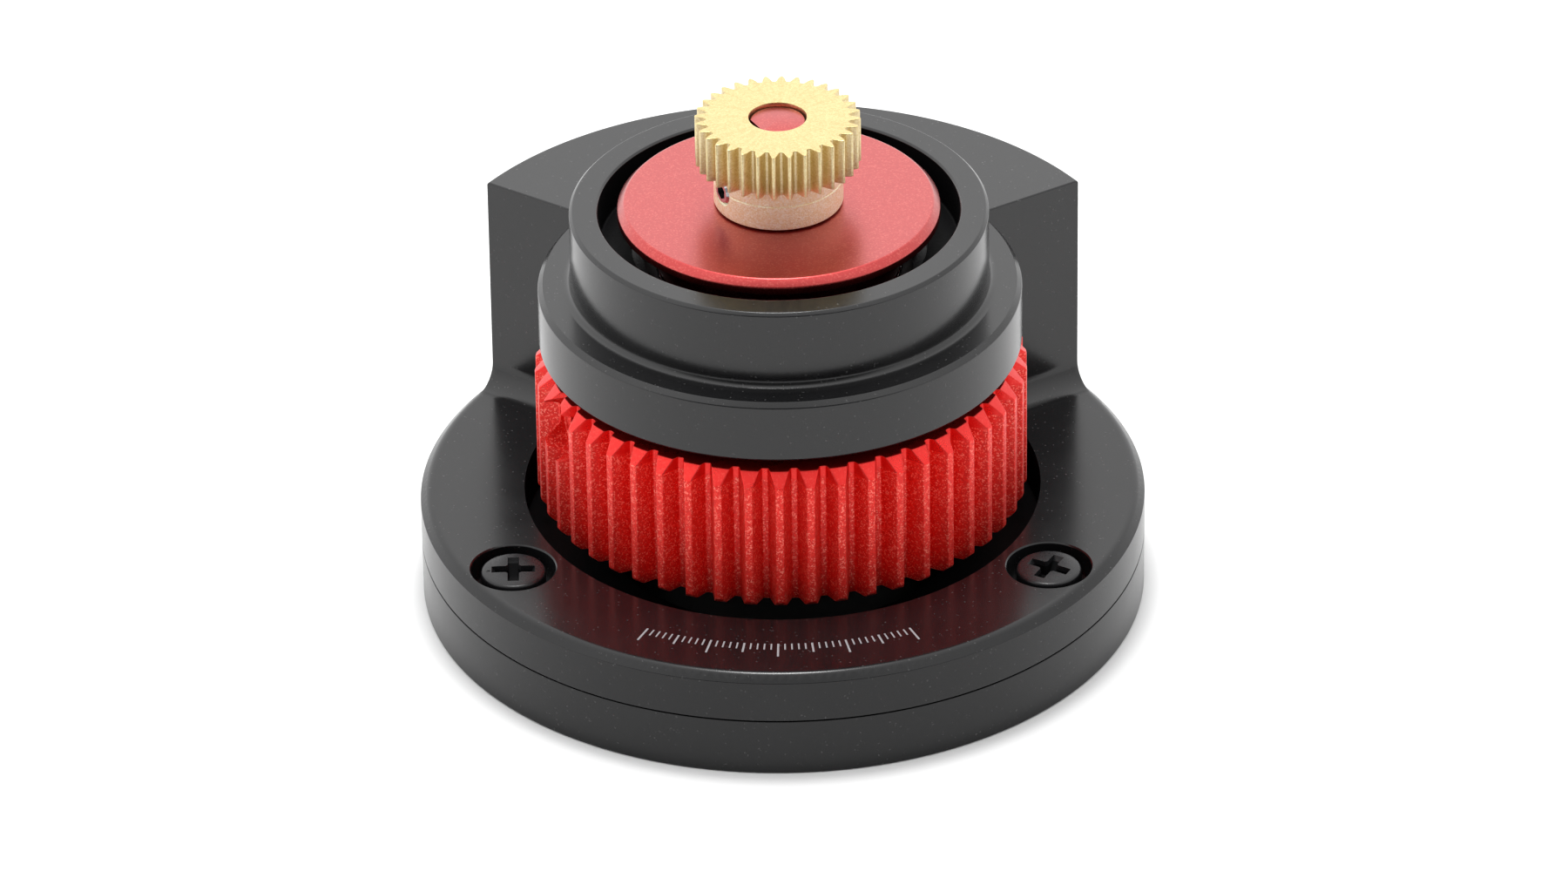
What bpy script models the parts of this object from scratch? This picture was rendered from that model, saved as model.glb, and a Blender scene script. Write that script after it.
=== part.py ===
"""Focus-drive adapter for a telescope's rear cell.

A round two-layer flange carries a rear pillar, which holds a bearing collar over a toothed
knob. The knob, a disc with a D-shaft and a brass pinion turn together on two thin ball
bearings in the collar. Sizes are in millimetres until a mesh is made. +Z is up along the
knob's axis, the pillar is at +Y and the flange's underside is at Z = 0.
"""
import math

import bmesh
import bpy
from mathutils import Matrix, Vector

MM = 0.001

# Clearances
GAP = 0.30              # between faces that rest on each other inside
SEAM = 0.15             # between faces whose joint shows from outside
SLIP = 0.15             # radial, between a bore and what fits in it

# Knob
KNOB_TEETH = 50
KNOB_TIP_R = 27.0
KNOB_TOOTH_DEPTH = 2.1
KNOB_TIP_HALF = 0.87    # half angles in degrees
KNOB_ROOT_HALF = 2.84
KNOB_H = 16.6
KNOB_TOP_CHAMFER = 1.5
KNOB_BOTTOM_CHAMFER = 0.7
KNOB_RIM_WALL = 2.4
KNOB_WEB_H = 7.6
KNOB_HUB_WALL = 4.65
KNOB_HUB_DROP = 2.8     # hub below the teeth
KNOB_TOOTH_PHASE = -89.55

# Flange, two layers
BASE_H = 6.6
UPPER_H = 5.8
FLANGE_WIDTH = 11.5
FLANGE_CHAMFER = 0.9
CHAMFER_STEP = 0.03     # where the rim's chamfer meets the pillar wall, below the top
BASE_CHAMFER = 0.3
BASE_BORE_R = 19.8
WELL_CLEARANCE = 1.5    # round the knob
KNOB_LIFT = 0.4         # teeth above the flange

# Pillar
PILLAR_HALF_ANGLE = 57.0
PILLAR_FOOT_FILLET = 2.8
PILLAR_EDGE = 0.3

# Bearings
RACE_INNER_R = 12.5
RACE_SECTION = 3.5      # outer radius less inner radius
BEARING_W = 3.5
RACE_WALL = 0.95
BALL_R = 0.9
BALL_COUNT = 10
GROOVE_DEPTH = 0.45
CAGE_HALF_WALL = 0.35
CAGE_HALF_H = 1.25
POCKET_SLIP = 0.05      # beyond the corners of a ball
SEAL_T = 0.35
SEAL_INSET = 0.05
SPACER_H = 0.8
CIRCLIP_T = 1.0
CIRCLIP_DEPTH = 1.0
CIRCLIP_REACH = 1.1
CIRCLIP_OPENING = 40.0  # degrees between its ends

# Disc and shaft
DISC_R = 17.6
DISC_T = 1.6
DISC_CHAMFER = 0.75
DISC_RISE = 0.9         # above the collar
SHAFT_R = 3.0
SHAFT_FLAT = 2.5        # from the axis to the flat
SHAFT_FLAT_RISE = 0.6   # lower end of the flat above the disc
SHAFT_TIP_CHAMFER = 0.2
SHAFT_RECESS = 0.45     # below the pinion's top
STEM_DROP = 0.8         # below the knob's teeth

# Collar
KNOB_HEADROOM = 1.8     # under the shoulder
SHOULDER_H = 7.1
SHOULDER_LEDGE = 3.6
SHOULDER_CHAMFER = 0.55
COLLAR_H = 9.1
COLLAR_WALL = 3.15
COLLAR_MOAT = 2.1       # round the disc
COLLAR_CHAMFER = 0.35
COLLAR_FILLET = 0.9
BORE_LEDGE = 0.6        # wall between the ring groove and the floor of the wide bore
LIP_H = 0.9
LIP_REACH = 0.9         # under the lower bearing's outer race

# Pinion
PINION_TEETH = 32
PINION_TIP_R = 9.0
PINION_TOOTH_DEPTH = 1.2
PINION_TIP_HALF = 1.05
PINION_PITCH_HALF = 2.8
PINION_ROOT_HALF = 4.2
PINION_H = 10.25
PINION_FACE_W = 5.35
PINION_HUB_R = 7.05
PINION_BORE_CHAMFER = 0.1
PINION_PHASE = 99.2

# Screws
GRUB_ANGLE = 209.2      # direction that the shaft's flat and the pinion's grub screw face
PINION_GRUB_R = 1.5
PINION_GRUB_DROP = 2.05  # below the pinion's teeth
KNOB_GRUB_R = 2.0
KNOB_GRUB_LENGTH = 7.0
KNOB_GRUB_DROP = 4.0    # below the knob's top
KNOB_GRUB_ANGLES = (203.0, 113.0)
KNOB_ACCESS_R = 3.4
KNOB_ACCESS_DEPTH = 0.7  # below the roots of the knob's teeth
GRUB_EDGE = 0.2         # chamfer, socket radius and socket depth as shares of a grub
GRUB_SOCKET_R = 0.58    # screw's radius, radius and length
GRUB_SOCKET_DEPTH = 0.5
SCREW_INSET = 5.85       # flange screws' centres from the flange's edge
FLANGE_SCREW_ANGLES = (211.5, 329.0)
FLANGE_SCREW_ROLLS = (0.0, -28.0)
REAR_SCREW_ANGLE = 90.0
SCREW_R = 2.0
SCREW_HEAD_R = 3.55
SCREW_HEAD_H = 2.6
SCREW_EDGE = 0.3
SCREW_HEAD_RECESS = 0.15
SCREW_HEAD_SLIP = 1.1   # round a head in its counterbore
SCREW_FLOOR = 1.4       # metal left under a blind hole
RECESS_DEPTH = 1.6
RECESS_ARM = 2.35
RECESS_WIDTH = 1.2
REAR_SCREW_REACH = 9.0
FIXING_INSET = 10.0     # telescope fixing holes' centres from the flange's edge
FIXING_HOLE_R = 2.2
FIXING_HEAD_R = 4.2
FIXING_ANGLES = (30.0, 150.0, 270.0)

# Focus-shaft coupler
COUPLER_R = 6.5
COUPLER_LENGTH = 12.0
COUPLER_BORE_R = 3.2
COUPLER_CHAMFER = 0.6
PIN_R = 1.0

TURN_STEPS = 60
ROTOR_STEPS = 40
SMALL_STEPS = 24
TINY_STEPS = 16
BALL_STEPS = 6
CUT_MARGIN = 1.0
DRILL_ROLL = 5.0        # keeps a hole's corners off the turned pieces' edges

# Derived radii
KNOB_ROOT_R = KNOB_TIP_R - KNOB_TOOTH_DEPTH
WELL_R = KNOB_TIP_R + WELL_CLEARANCE
FLANGE_R = WELL_R + FLANGE_WIDTH
SCREW_CIRCLE_R = FLANGE_R - SCREW_INSET
FIXING_CIRCLE_R = FLANGE_R - FIXING_INSET
SCREW_COUNTERBORE_R = SCREW_HEAD_R + SCREW_HEAD_SLIP
COLLAR_BORE_R = DISC_R + COLLAR_MOAT
COLLAR_R = COLLAR_BORE_R + COLLAR_WALL
SHOULDER_R = COLLAR_R + SHOULDER_LEDGE
RACE_OUTER_R = RACE_INNER_R + RACE_SECTION
BEARING_BORE_R = RACE_OUTER_R + SLIP
LIP_R = RACE_OUTER_R - LIP_REACH
STEM_R = RACE_INNER_R - SLIP
KNOB_HUB_R = STEM_R + KNOB_HUB_WALL
BALL_CIRCLE_R = (RACE_OUTER_R + RACE_INNER_R) / 2.0
PINION_ROOT_R = PINION_TIP_R - PINION_TOOTH_DEPTH

# Derived heights
FLANGE_H = BASE_H + UPPER_H
KNOB_BOTTOM_Z = FLANGE_H + KNOB_LIFT
KNOB_TOP_Z = KNOB_BOTTOM_Z + KNOB_H
KNOB_GRUB_Z = KNOB_TOP_Z - KNOB_GRUB_DROP
STEM_BOTTOM_Z = KNOB_BOTTOM_Z - STEM_DROP
COVER_UNDER_Z = KNOB_TOP_Z + KNOB_HEADROOM
SHOULDER_Z = COVER_UNDER_Z + SHOULDER_H
COLLAR_Z = SHOULDER_Z + COLLAR_H
LOWER_BEARING_Z = COVER_UNDER_Z + LIP_H + GAP
SPACER_Z = LOWER_BEARING_Z + BEARING_W + GAP
UPPER_BEARING_Z = SPACER_Z + SPACER_H + GAP
CIRCLIP_Z = UPPER_BEARING_Z + BEARING_W + GAP
DISC_TOP_Z = COLLAR_Z + DISC_RISE
PINION_TOP_Z = DISC_TOP_Z + SEAM + PINION_H
PINION_GRUB_Z = PINION_TOP_Z - PINION_FACE_W - PINION_GRUB_DROP
SHAFT_TOP_Z = PINION_TOP_Z - SHAFT_RECESS

BLACK_ANODISE = ("black_anodise", (0.016, 0.016, 0.018, 1.0), 0.45, 0.6)
RED_ANODISE = ("red_anodise", (0.55, 0.02, 0.03, 1.0), 0.38, 0.8)
BRASS = ("brass", (0.80, 0.60, 0.28, 1.0), 0.32, 1.0)
STEEL = ("bearing_steel", (0.62, 0.63, 0.65, 1.0), 0.2, 1.0)
BLACK_STEEL = ("black_steel", (0.03, 0.03, 0.032, 1.0), 0.4, 0.8)
RUBBER = ("seal_rubber", (0.02, 0.02, 0.02, 1.0), 0.7, 0.0)
CAGE_BRASS = ("cage_brass", (0.72, 0.52, 0.25, 1.0), 0.4, 1.0)


def clear_scene():
    for obj in list(bpy.data.objects):
        bpy.data.objects.remove(obj, do_unlink=True)


def material(spec):
    name, colour, roughness, metallic = spec
    mat = bpy.data.materials.get(name)
    if mat is None:
        mat = bpy.data.materials.new(name)
        mat.use_nodes = True
        shader = mat.node_tree.nodes["Principled BSDF"]
        shader.inputs["Base Color"].default_value = colour
        shader.inputs["Roughness"].default_value = roughness
        shader.inputs["Metallic"].default_value = metallic
    return mat


def finish_mesh(bm, name, spec, sharp_angle=30.0):
    """Turn a bmesh that is in millimetres into a linked, smooth-shaded object."""
    bmesh.ops.recalc_face_normals(bm, faces=bm.faces)
    bmesh.ops.scale(bm, vec=(MM, MM, MM), verts=bm.verts)
    mesh = bpy.data.meshes.new(name)
    bm.to_mesh(mesh)
    bm.free()
    mesh.shade_smooth()
    mesh.set_sharp_from_angle(angle=math.radians(sharp_angle))
    obj = bpy.data.objects.new(name, mesh)
    bpy.context.scene.collection.objects.link(obj)
    mesh.materials.append(material(spec))
    return obj


def polar(radius, degrees, z=0.0):
    angle = math.radians(degrees)
    return Vector((radius * math.cos(angle), radius * math.sin(angle), z))


def turned(name, profile, spec, steps=TURN_STEPS, sweep=360.0, start=0.0):
    """Solid of revolution about Z; profile is a closed outline of (radius, z) points."""
    bm = bmesh.new()
    verts = [bm.verts.new(polar(r, start, z)) for r, z in profile]
    edges = [bm.edges.new((verts[i - 1], verts[i])) for i in range(len(verts))]
    full = sweep >= 360.0
    first_face = None
    if not full:
        first_face = bm.faces.new(verts)
    bmesh.ops.spin(
        bm,
        geom=[first_face] if first_face else edges,
        cent=(0.0, 0.0, 0.0),
        axis=(0.0, 0.0, 1.0),
        angle=math.radians(sweep),
        steps=steps,
        use_merge=full,
    )
    bmesh.ops.remove_doubles(bm, verts=bm.verts, dist=1e-4)
    return finish_mesh(bm, name, spec)


def cylinder(name, radius, length, spec, steps=TINY_STEPS):
    """Cylinder from Z = 0 up to its length."""
    bm = bmesh.new()
    bmesh.ops.create_cone(
        bm, cap_ends=True, segments=steps, radius1=radius, radius2=radius, depth=length,
        matrix=Matrix.Translation((0.0, 0.0, length / 2.0)),
    )
    return finish_mesh(bm, name, spec)


def box(name, size, spec):
    """Box centred on its origin in X and Y, from Z = 0 up."""
    bm = bmesh.new()
    matrix = Matrix.Translation((0.0, 0.0, size[2] / 2.0)) @ Matrix.Diagonal((*size, 1.0))
    bmesh.ops.create_cube(bm, size=1.0, matrix=matrix)
    return finish_mesh(bm, name, spec)


def place(obj, location, direction=(0.0, 0.0, 1.0), roll=0.0):
    """Put an object's origin at a point in millimetres, with its Z along a direction."""
    turn = Vector(direction).to_track_quat("Z", "Y").to_matrix().to_4x4()
    spin = Matrix.Rotation(math.radians(roll), 4, "Z")
    obj.matrix_world = Matrix.Translation(Vector(location) * MM) @ turn @ spin


def as_cutter(obj):
    obj.hide_render = True
    obj.display_type = "WIRE"
    return obj


def cut(target, cutter, operation="DIFFERENCE"):
    modifier = target.modifiers.new(cutter.name, "BOOLEAN")
    modifier.operation = operation
    modifier.solver = "MANIFOLD"
    modifier.object = as_cutter(cutter)


def drill(target, name, radius, start, end, steps=TINY_STEPS):
    """Cut a round hole between two points in millimetres."""
    start = Vector(start)
    run = Vector(end) - start
    tool = cylinder(name, radius, run.length, BLACK_STEEL, steps)
    place(tool, start, run.normalized(), DRILL_ROLL)
    cut(target, tool)


def arc_points(centre, radius, start, end, count):
    """Points on an arc in the (radius, z) plane, ends included."""
    points = []
    for step in range(count + 1):
        angle = math.radians(start + (end - start) * step / count)
        points.append((centre[0] + radius * math.cos(angle), centre[1] + radius * math.sin(angle)))
    return points


def housing_profile():
    """Outline of the upper flange, pillar wall, shoulder and collar before the front is cut."""
    wall_r = FLANGE_R - FLANGE_CHAMFER
    fillet_r = COLLAR_R + COLLAR_FILLET
    fillet = arc_points((fillet_r, SHOULDER_Z + COLLAR_FILLET), COLLAR_FILLET, 270.0, 180.0, 3)
    groove_r = BEARING_BORE_R + CIRCLIP_DEPTH
    groove_top = CIRCLIP_Z + CIRCLIP_T + SEAM
    bore_floor = groove_top + BORE_LEDGE
    return [
        (WELL_R, BASE_H + SEAM),
        (FLANGE_R, BASE_H + SEAM),
        (FLANGE_R, FLANGE_H - FLANGE_CHAMFER),
        (wall_r, FLANGE_H - CHAMFER_STEP),
        (wall_r, SHOULDER_Z - PILLAR_EDGE),
        (wall_r - PILLAR_EDGE, SHOULDER_Z),
        *fillet,
        (COLLAR_R, COLLAR_Z - COLLAR_CHAMFER),
        (COLLAR_R - COLLAR_CHAMFER, COLLAR_Z),
        (COLLAR_BORE_R + COLLAR_CHAMFER / 2.0, COLLAR_Z),
        (COLLAR_BORE_R, COLLAR_Z - COLLAR_CHAMFER / 2.0),
        (COLLAR_BORE_R, bore_floor),
        (BEARING_BORE_R, bore_floor),
        (BEARING_BORE_R, groove_top),
        (groove_r, groove_top),
        (groove_r, CIRCLIP_Z - SEAM),
        (BEARING_BORE_R, CIRCLIP_Z - SEAM),
        (BEARING_BORE_R, COVER_UNDER_Z + LIP_H),
        (LIP_R, COVER_UNDER_Z + LIP_H),
        (LIP_R, COVER_UNDER_Z),
        (WELL_R, COVER_UNDER_Z),
    ]


def front_cutter():
    """Solid that clears the front between the pillar's two radial faces.

    Its slices stand across the cut. Those within a fillet radius of a radial face are
    parallel to it and rise with the fillet, so the pillar's foot is left rounded.
    """
    inner_r = SHOULDER_R
    outer_r = FLANGE_R + CUT_MARGIN
    top = SHOULDER_Z + CUT_MARGIN
    chamfer_z = SHOULDER_Z - SHOULDER_CHAMFER
    lean_r = inner_r - SHOULDER_CHAMFER - CUT_MARGIN
    left = 90.0 + PILLAR_HALF_ANGLE
    right = 450.0 - PILLAR_HALF_ANGLE
    fillet_steps = 4

    def slice_points(radial, offset, rise):
        points = []
        for radius, z in ((inner_r, FLANGE_H + rise), (outer_r, FLANGE_H + rise),
                          (outer_r, top), (lean_r, top), (inner_r, chamfer_z)):
            along = math.sqrt(radius * radius - offset.length_squared)
            points.append(radial * along + offset + Vector((0.0, 0.0, z)))
        return points

    slices = []
    for step in range(fillet_steps + 1):
        angle = math.radians(90.0 * step / fillet_steps)
        distance = PILLAR_FOOT_FILLET * (1.0 - math.cos(angle))
        rise = PILLAR_FOOT_FILLET * (1.0 - math.sin(angle))
        normal = polar(1.0, left + 90.0)
        slices.append(slice_points(polar(1.0, left), normal * distance, rise))
    skip = math.degrees(math.asin(PILLAR_FOOT_FILLET / inner_r))
    pitch = 360.0 / TURN_STEPS
    count = 2 * int((right - left - 2.0 * skip) / pitch / 2.0)
    for step in range(count):
        angle = 270.0 + (step - (count - 1) / 2.0) * pitch
        slices.append(slice_points(polar(1.0, angle), Vector(), 0.0))
    for step in range(fillet_steps, -1, -1):
        angle = math.radians(90.0 * step / fillet_steps)
        distance = PILLAR_FOOT_FILLET * (1.0 - math.cos(angle))
        rise = PILLAR_FOOT_FILLET * (1.0 - math.sin(angle))
        normal = polar(1.0, right - 90.0)
        slices.append(slice_points(polar(1.0, right), normal * distance, rise))

    bm = bmesh.new()
    rows = [[bm.verts.new(point) for point in row] for row in slices]
    for before, after in zip(rows, rows[1:]):
        for k in range(len(before)):
            bm.faces.new((before[k - 1], before[k], after[k], after[k - 1]))
    bm.faces.new(rows[0])
    bm.faces.new(rows[-1])
    bmesh.ops.triangulate(bm, faces=bm.faces)
    return finish_mesh(bm, "front_cut", BLACK_STEEL)


def screw_seat_z():
    """Floor of the counterbore under a flange screw's head."""
    return FLANGE_H - SCREW_HEAD_RECESS - SCREW_HEAD_H - SEAM


def make_housing():
    housing = turned("housing", housing_profile(), BLACK_ANODISE)
    cut(housing, front_cutter())
    for index, angle in enumerate(FLANGE_SCREW_ANGLES):
        centre = polar(SCREW_CIRCLE_R, angle)
        drill(housing, f"counterbore_{index}", SCREW_COUNTERBORE_R,
              centre + Vector((0.0, 0.0, screw_seat_z())),
              centre + Vector((0.0, 0.0, FLANGE_H + CUT_MARGIN)), SMALL_STEPS)
        drill(housing, f"screw_way_{index}", SCREW_R + SLIP,
              centre + Vector((0.0, 0.0, BASE_H - CUT_MARGIN)),
              centre + Vector((0.0, 0.0, screw_seat_z() + CUT_MARGIN)))
    centre = polar(SCREW_CIRCLE_R, REAR_SCREW_ANGLE)
    drill(housing, "rear_screw_way", SCREW_R + SLIP,
          centre + Vector((0.0, 0.0, BASE_H - CUT_MARGIN)),
          centre + Vector((0.0, 0.0, BASE_H + REAR_SCREW_REACH + CUT_MARGIN)))
    return housing


def make_base_ring():
    profile = [
        (BASE_BORE_R + BASE_CHAMFER, 0.0),
        (FLANGE_R - BASE_CHAMFER, 0.0),
        (FLANGE_R, BASE_CHAMFER),
        (FLANGE_R, BASE_H),
        (BASE_BORE_R, BASE_H),
        (BASE_BORE_R, BASE_CHAMFER),
    ]
    ring = turned("base_ring", profile[::-1], BLACK_ANODISE)
    for index, angle in enumerate(FLANGE_SCREW_ANGLES):
        centre = polar(SCREW_CIRCLE_R, angle)
        drill(ring, f"tapped_{index}", SCREW_R + SLIP,
              centre + Vector((0.0, 0.0, SCREW_FLOOR)),
              centre + Vector((0.0, 0.0, BASE_H + CUT_MARGIN)))
    centre = polar(SCREW_CIRCLE_R, REAR_SCREW_ANGLE)
    drill(ring, "rear_way", SCREW_R + SLIP,
          centre + Vector((0.0, 0.0, -CUT_MARGIN)),
          centre + Vector((0.0, 0.0, BASE_H + CUT_MARGIN)))
    drill(ring, "rear_counterbore", SCREW_COUNTERBORE_R,
          centre + Vector((0.0, 0.0, -CUT_MARGIN)),
          centre + Vector((0.0, 0.0, SCREW_HEAD_RECESS + SCREW_HEAD_H + SEAM)))
    for index, angle in enumerate(FIXING_ANGLES):
        centre = polar(FIXING_CIRCLE_R, angle)
        drill(ring, f"fixing_way_{index}", FIXING_HOLE_R,
              centre + Vector((0.0, 0.0, -CUT_MARGIN)),
              centre + Vector((0.0, 0.0, BASE_H + CUT_MARGIN)))
        drill(ring, f"fixing_head_{index}", FIXING_HEAD_R,
              centre + Vector((0.0, 0.0, BASE_H / 2.0)),
              centre + Vector((0.0, 0.0, BASE_H + CUT_MARGIN)))
    return ring


def cross_recess(name, matrix):
    """Cross-shaped tool, two crossed bars joined into one body."""
    bar = box(name, (2.0 * RECESS_ARM, RECESS_WIDTH, RECESS_DEPTH + CUT_MARGIN), BLACK_STEEL)
    other = box(name + "_b", (RECESS_WIDTH, 2.0 * RECESS_ARM, RECESS_DEPTH + CUT_MARGIN), BLACK_STEEL)
    bar.matrix_world = matrix
    other.matrix_world = matrix
    cut(bar, other, "UNION")
    return bar


def make_machine_screw(name, location, direction, length, roll):
    """Cross-recess screw whose head rests at its origin; direction points out of the head."""
    profile = [
        (0.0, -length),
        (SCREW_R, -length),
        (SCREW_R, 0.0),
        (SCREW_HEAD_R, 0.0),
        (SCREW_HEAD_R, SCREW_HEAD_H - SCREW_EDGE),
        (SCREW_HEAD_R - SCREW_EDGE, SCREW_HEAD_H),
        (0.0, SCREW_HEAD_H),
    ]
    screw = turned(name, profile, BLACK_STEEL, TINY_STEPS)
    place(screw, location, direction, roll)
    lift = Matrix.Translation((0.0, 0.0, (SCREW_HEAD_H - RECESS_DEPTH) * MM))
    cut(screw, cross_recess(name + "_recess", screw.matrix_world @ lift))
    return screw


def make_flange_screws():
    length = screw_seat_z() - SCREW_FLOOR - GAP
    for index, angle in enumerate(FLANGE_SCREW_ANGLES):
        seat = polar(SCREW_CIRCLE_R, angle, screw_seat_z() + SEAM)
        make_machine_screw(f"flange_screw_{index + 1}", seat, (0.0, 0.0, 1.0), length,
                           FLANGE_SCREW_ROLLS[index])
    seat = polar(SCREW_CIRCLE_R, REAR_SCREW_ANGLE, SCREW_HEAD_RECESS + SCREW_HEAD_H)
    reach = BASE_H + REAR_SCREW_REACH - seat.z
    make_machine_screw("rear_screw", seat, (0.0, 0.0, -1.0), reach, 0.0)


def toothed(name, spec, teeth, phase, flank, levels, inner):
    """Gear-like ring about Z.

    flank lists (radius, half angle) from root to tip, levels lists (z, tip radius) from
    the bottom up, and inner lists the (radius, z) points of the inside, from the lower
    face's inner edge to the upper face's.
    """
    pitch = 360.0 / teeth
    bm = bmesh.new()

    def clipped(tip_r):
        """Flank points up to a tip radius, which lies on the last flank segment or at its end."""
        points = [polar(r, -half) for r, half in flank]
        low_r, high_r = flank[-2][0], flank[-1][0]
        share = (tip_r - low_r) / (high_r - low_r)
        points[-1] = points[-2].lerp(points[-1], share)
        return points

    def ring(z, tip_r):
        side = clipped(tip_r)
        row = []
        for tooth in range(teeth):
            turn = Matrix.Rotation(math.radians(phase + tooth * pitch), 3, "Z")
            shape = side + [Vector((p.x, -p.y, 0.0)) for p in reversed(side)]
            row.append([bm.verts.new(turn @ p + Vector((0.0, 0.0, z))) for p in shape])
        return row

    rings = [ring(z, tip_r) for z, tip_r in levels]
    for lower, upper in zip(rings, rings[1:]):
        low = [v for tooth in lower for v in tooth]
        high = [v for tooth in upper for v in tooth]
        for k in range(len(low)):
            bm.faces.new((low[k - 1], low[k], high[k], high[k - 1]))

    hoops = []
    for radius, z in inner:
        hoop = [bm.verts.new(polar(radius, phase + (tooth - 0.5) * pitch, z)) for tooth in range(teeth)]
        hoops.append(hoop)
    for lower, upper in zip(hoops, hoops[1:]):
        for k in range(teeth):
            bm.faces.new((lower[k - 1], lower[k], upper[k], upper[k - 1]))
    for outline, hoop in ((rings[0], hoops[0]), (rings[-1], hoops[-1])):
        for tooth in range(teeth):
            following = (tooth + 1) % teeth
            bm.faces.new((hoop[tooth], *outline[tooth], hoop[following]))
            bm.faces.new((hoop[following], outline[tooth][-1], outline[following][0]))
    return finish_mesh(bm, name, spec)


def make_knob():
    rim_r = KNOB_ROOT_R - KNOB_RIM_WALL
    web_z = KNOB_TOP_Z - KNOB_WEB_H
    bore_r = STEM_R + SLIP
    boss_r = RACE_INNER_R + RACE_WALL - SLIP
    boss_z = LOWER_BEARING_Z - GAP
    hub_z = KNOB_BOTTOM_Z - KNOB_HUB_DROP
    levels = [
        (KNOB_BOTTOM_Z, KNOB_TIP_R - KNOB_BOTTOM_CHAMFER),
        (KNOB_BOTTOM_Z + KNOB_BOTTOM_CHAMFER, KNOB_TIP_R),
        (KNOB_TOP_Z - KNOB_TOP_CHAMFER, KNOB_TIP_R),
        (KNOB_TOP_Z, KNOB_TIP_R - KNOB_TOP_CHAMFER),
    ]
    inner = [
        (rim_r, KNOB_BOTTOM_Z),
        (rim_r, web_z),
        (KNOB_HUB_R, web_z),
        (KNOB_HUB_R, hub_z),
        (bore_r, hub_z),
        (bore_r, boss_z),
        (boss_r, boss_z),
        (boss_r, KNOB_TOP_Z),
    ]
    flank = [(KNOB_ROOT_R, KNOB_ROOT_HALF), (KNOB_TIP_R, KNOB_TIP_HALF)]
    knob = toothed("focus_knob", RED_ANODISE, KNOB_TEETH, KNOB_TOOTH_PHASE, flank, levels, inner)
    for index, angle in enumerate(KNOB_GRUB_ANGLES):
        drill(knob, f"knob_tapping_{index}", KNOB_GRUB_R + SLIP,
              polar(bore_r - CUT_MARGIN, angle, KNOB_GRUB_Z), polar(KNOB_ROOT_R, angle, KNOB_GRUB_Z))
        drill(knob, f"knob_access_{index}", KNOB_ACCESS_R,
              polar(KNOB_ROOT_R - KNOB_ACCESS_DEPTH, angle, KNOB_GRUB_Z),
              polar(KNOB_TIP_R + CUT_MARGIN, angle, KNOB_GRUB_Z), SMALL_STEPS)
    return knob


def make_grub_screw(name, radius, length, inner_end_r, angle, z):
    """Set screw lying along a radius of the knob's axis, its socket facing out."""
    edge = radius * GRUB_EDGE
    profile = [(0.0, 0.0), (radius - edge, 0.0), (radius, edge), (radius, length - edge),
               (radius - edge, length), (0.0, length)]
    screw = turned(name, profile, BLACK_STEEL, TINY_STEPS)
    outward = polar(1.0, angle)
    place(screw, polar(inner_end_r, angle, z), outward)
    depth = length * GRUB_SOCKET_DEPTH
    socket = cylinder(name + "_socket", radius * GRUB_SOCKET_R, depth + CUT_MARGIN, BLACK_STEEL, 6)
    place(socket, polar(inner_end_r + length - depth, angle, z), outward)
    cut(screw, socket)
    return screw


def make_rotor():
    """Shaft, disc and stem turned as one piece, with a flat on the shaft."""
    coupler_bore_r = COUPLER_R + SLIP
    coupler_top = STEM_BOTTOM_Z + COUPLER_LENGTH + GAP
    disc_under = DISC_TOP_Z - DISC_T
    spread_r = STEM_R + RACE_WALL
    race_top = UPPER_BEARING_Z + BEARING_W + GAP
    profile = [
        (0.0, coupler_top),
        (coupler_bore_r, coupler_top),
        (coupler_bore_r, STEM_BOTTOM_Z),
        (STEM_R, STEM_BOTTOM_Z),
        (STEM_R, race_top),
        (spread_r, race_top),
        (spread_r, disc_under),
        (DISC_R, disc_under),
        (DISC_R, DISC_TOP_Z - DISC_CHAMFER),
        (DISC_R - DISC_CHAMFER, DISC_TOP_Z),
        (SHAFT_R, DISC_TOP_Z),
        (SHAFT_R, SHAFT_TOP_Z - SHAFT_TIP_CHAMFER),
        (SHAFT_R - SHAFT_TIP_CHAMFER, SHAFT_TOP_Z),
        (0.0, SHAFT_TOP_Z),
    ]
    rotor = turned("drive_rotor", profile, RED_ANODISE, ROTOR_STEPS)
    depth = SHAFT_R - SHAFT_FLAT + CUT_MARGIN
    width = 2.0 * SHAFT_R + CUT_MARGIN
    flat = box("shaft_flat", (width, width * 3.0, depth), BLACK_STEEL)
    middle = DISC_TOP_Z + SHAFT_FLAT_RISE + width * 1.5
    outward = polar(1.0, GRUB_ANGLE)
    up = Vector((0.0, 0.0, 1.0))
    basis = Matrix((up.cross(outward), up, outward)).transposed().to_4x4()
    flat.matrix_world = Matrix.Translation(polar(SHAFT_FLAT, GRUB_ANGLE, middle) * MM) @ basis
    cut(rotor, flat)
    pin_z = STEM_BOTTOM_Z + COUPLER_LENGTH / 2.0
    reach = STEM_R + CUT_MARGIN
    drill(rotor, "rotor_pin_way", PIN_R + SLIP, polar(reach, 0.0, pin_z), polar(reach, 180.0, pin_z))
    return rotor


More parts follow.
